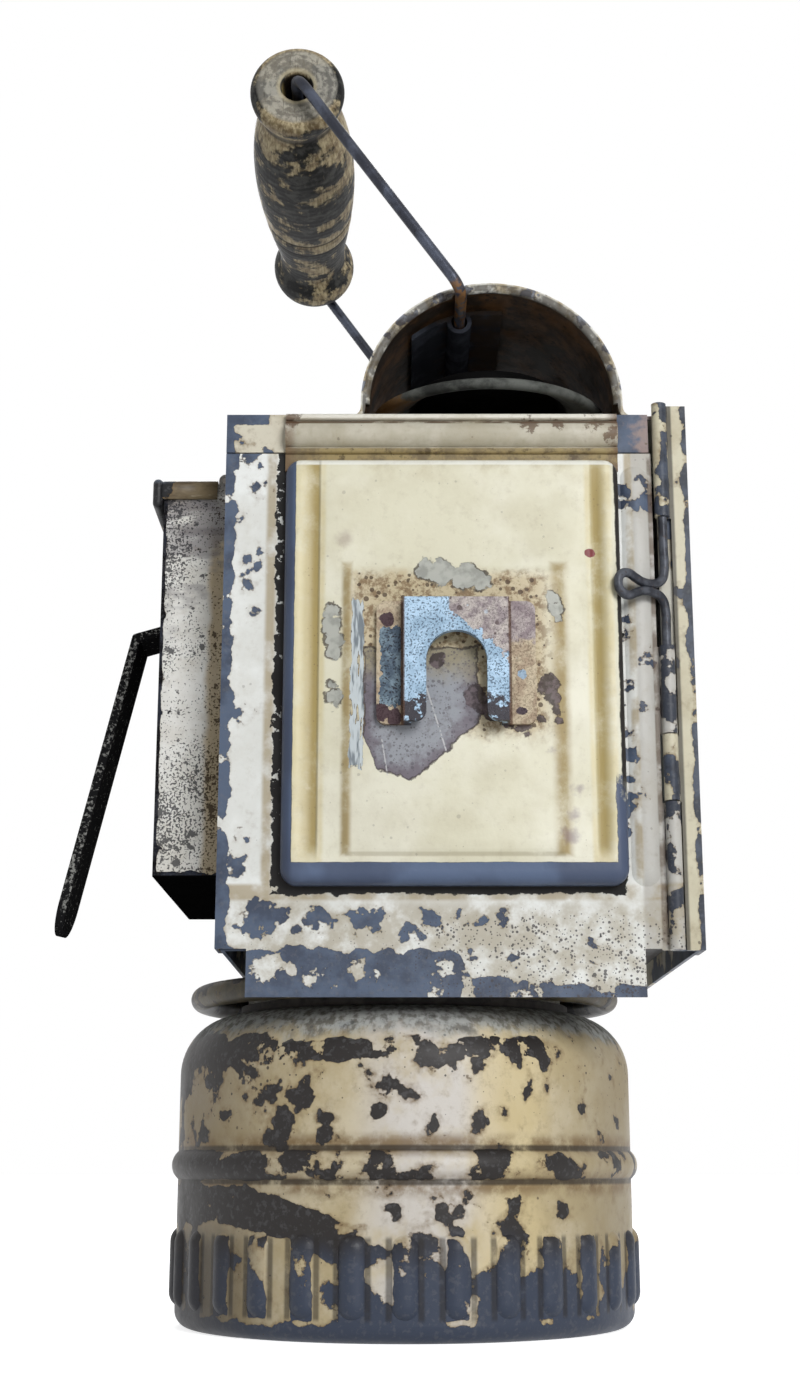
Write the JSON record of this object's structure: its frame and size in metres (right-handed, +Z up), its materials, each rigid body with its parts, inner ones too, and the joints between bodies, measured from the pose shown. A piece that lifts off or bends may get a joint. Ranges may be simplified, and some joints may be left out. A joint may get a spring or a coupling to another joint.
{
  "type": "carbide lantern",
  "caption": "Sheet-metal carbide hand lantern with a hinged door, a hood with a wooden carrying bail, a side water tank with a belt hook and a bayonet carbide canister.",
  "frame": {"origin": "on the ground, on the canister's axis", "axes": "+Z up along the canister's axis, -Y out of the door, +X towards the door's hinge, with the water tank at -X"},
  "size_m": [0.1424, 0.126, 0.2882],
  "materials": {
    "worn_cream": "worn cream paint, chipped to dark steel",
    "white_paint": "worn off-white paint, chipped to dark steel",
    "dark_steel": "dark oxidised steel",
    "bare_sheet": "dull bare sheet",
    "galvanised": "galvanised, with rust",
    "brass": "dull brass",
    "wood": "weathered turned wood",
    "rubber": "matt",
    "glass": "clear",
    "mirror": "plated dish",
    "ceramic": "unglazed"
  },
  "bodies": {
    "lamp_body": {"housing_shell": "white_paint", "floor_plate": "dark_steel", "roof_plate": "white_paint", "hinge_leaf": "white_paint", "hood": "worn_cream", "smoke_bell": "dark_steel", "bail_strap": "dark_steel", "neck_socket": "dark_steel", "bayonet_studs": "brass", "collar_flange": "dark_steel", "water_tank": "white_paint", "lid_pin": "dark_steel", "valve_seat": "brass", "valve_bush": "brass", "drip_tube": "brass", "belt_hook": "dark_steel", "hook_rivets": "dark_steel", "gas_tube": "brass", "burner_body": "brass", "burner_tip": "ceramic", "lens": "glass", "lens_bezel": "brass", "lens_gasket": "rubber", "bezel_screws": "brass"},
    "canister": {"canister_cup": "worn_cream", "canister_dome": "worn_cream", "neck_gasket": "rubber", "carbide_basket": "bare_sheet"},
    "door": {"door_frame": "white_paint", "door_panel": "worn_cream", "door_rail": "worn_cream", "hanger_bracket": "galvanised", "hinge_pin": "dark_steel", "reflector": "mirror", "reflector_stud": "brass"},
    "bail": {"bail_wire": "dark_steel"},
    "bail_grip": {"grip": "wood"},
    "lid": {"tank_lid": "dark_steel"},
    "knob": {"valve_knob": "brass"},
    "needle": {"valve_needle": "brass"}
  },
  "joints": [
    {"name": "canister_turn", "type": "hinge", "parent": "lamp_body", "child": "canister", "pos_m": [0, 0, 0], "axis": [0, 0, 1], "range_deg": [0, 30]},
    {"name": "door_swing", "type": "hinge", "parent": "lamp_body", "child": "door", "pos_m": [0.0556, -0.0508, 0.13], "axis": [0, 0, 1], "range_deg": [0, 135]},
    {"name": "bail_swing", "type": "hinge", "parent": "lamp_body", "child": "bail", "pos_m": [0.0127, 0, 0.22266], "axis": [0, 1, 0], "range_deg": [-63, 145]},
    {"name": "grip_spin", "type": "hinge", "parent": "bail", "child": "bail_grip", "pos_m": [-0.02488, 0, 0.27594], "axis": [0, 1, 0], "continuous": true},
    {"name": "lid_swing", "type": "hinge", "parent": "lamp_body", "child": "lid", "pos_m": [-0.0407, 0, 0.1851], "axis": [0, 1, 0], "range_deg": [0, 95]},
    {"name": "valve_turn", "type": "hinge", "parent": "lamp_body", "child": "knob", "pos_m": [-0.046, 0.01858, 0.188], "axis": [0, 0, 1], "range_deg": [0, 360]},
    {"name": "needle_lift", "type": "slide", "parent": "lamp_body", "child": "needle", "axis": [0, 0, 1], "range_m": [0, 0.0015]}
  ],
  "couplings": [
    {"joint": "needle_lift", "follows": "valve_turn", "m_per_rad": 0.00023873}
  ]
}
